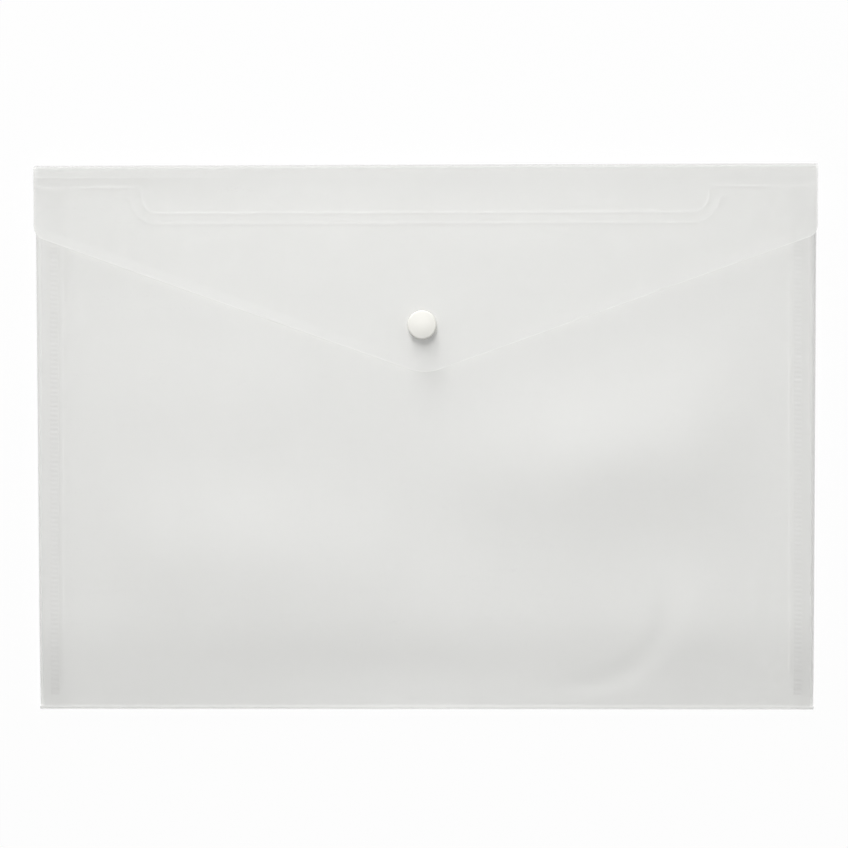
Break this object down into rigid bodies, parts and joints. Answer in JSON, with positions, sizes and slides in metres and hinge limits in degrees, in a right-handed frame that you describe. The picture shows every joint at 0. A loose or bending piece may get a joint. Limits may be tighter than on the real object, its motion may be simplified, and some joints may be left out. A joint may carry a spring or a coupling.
{
  "type": "document wallet",
  "caption": "Frosted translucent plastic envelope wallet for documents, with a swelling pocket, knurled side welds and a V flap closed by a snap button.",
  "frame": {"origin": "middle of the back panel's outer face, on the surface that the wallet lies on", "axes": "+X to the right along the flap's fold, +Y from the bottom fold to the flap's fold, +Z out of the front"},
  "size_m": [0.335, 0.2334, 0.013],
  "materials": {
    "film": "frosted translucent polypropylene sheet",
    "snap": "satin moulded ivory plastic"
  },
  "bodies": {
    "back": {"back_panel": "film", "bottom_fold": "film", "left_side_gusset": "film", "right_side_gusset": "film", "flap_fold": "film"},
    "front": {"front_panel": "film", "left_weld_strip": "film", "right_weld_strip": "film", "left_weld_seam": "film", "right_weld_seam": "film", "snap_stud": "snap", "snap_backing_cap": "snap"},
    "flap": {"flap": "film", "snap_cap": "snap", "snap_socket": "snap"}
  },
  "joints": [
    {"name": "flap_hinge", "type": "hinge", "parent": "back", "child": "flap", "pos_m": [0, 0.11135, 0.0054], "axis": [-1, 0, 0], "range_deg": [0, 178], "deforming": ["flap_fold"]},
    {"name": "front_press", "type": "hinge", "parent": "back", "child": "front", "pos_m": [0, -0.11495, 0.0018], "axis": [1, 0, 0], "range_deg": [-1.4, 0], "stiffness_Nm_per_rad": 0.5, "springref_deg": 6.88, "deforming": ["left_side_gusset", "right_side_gusset"]}
  ]
}
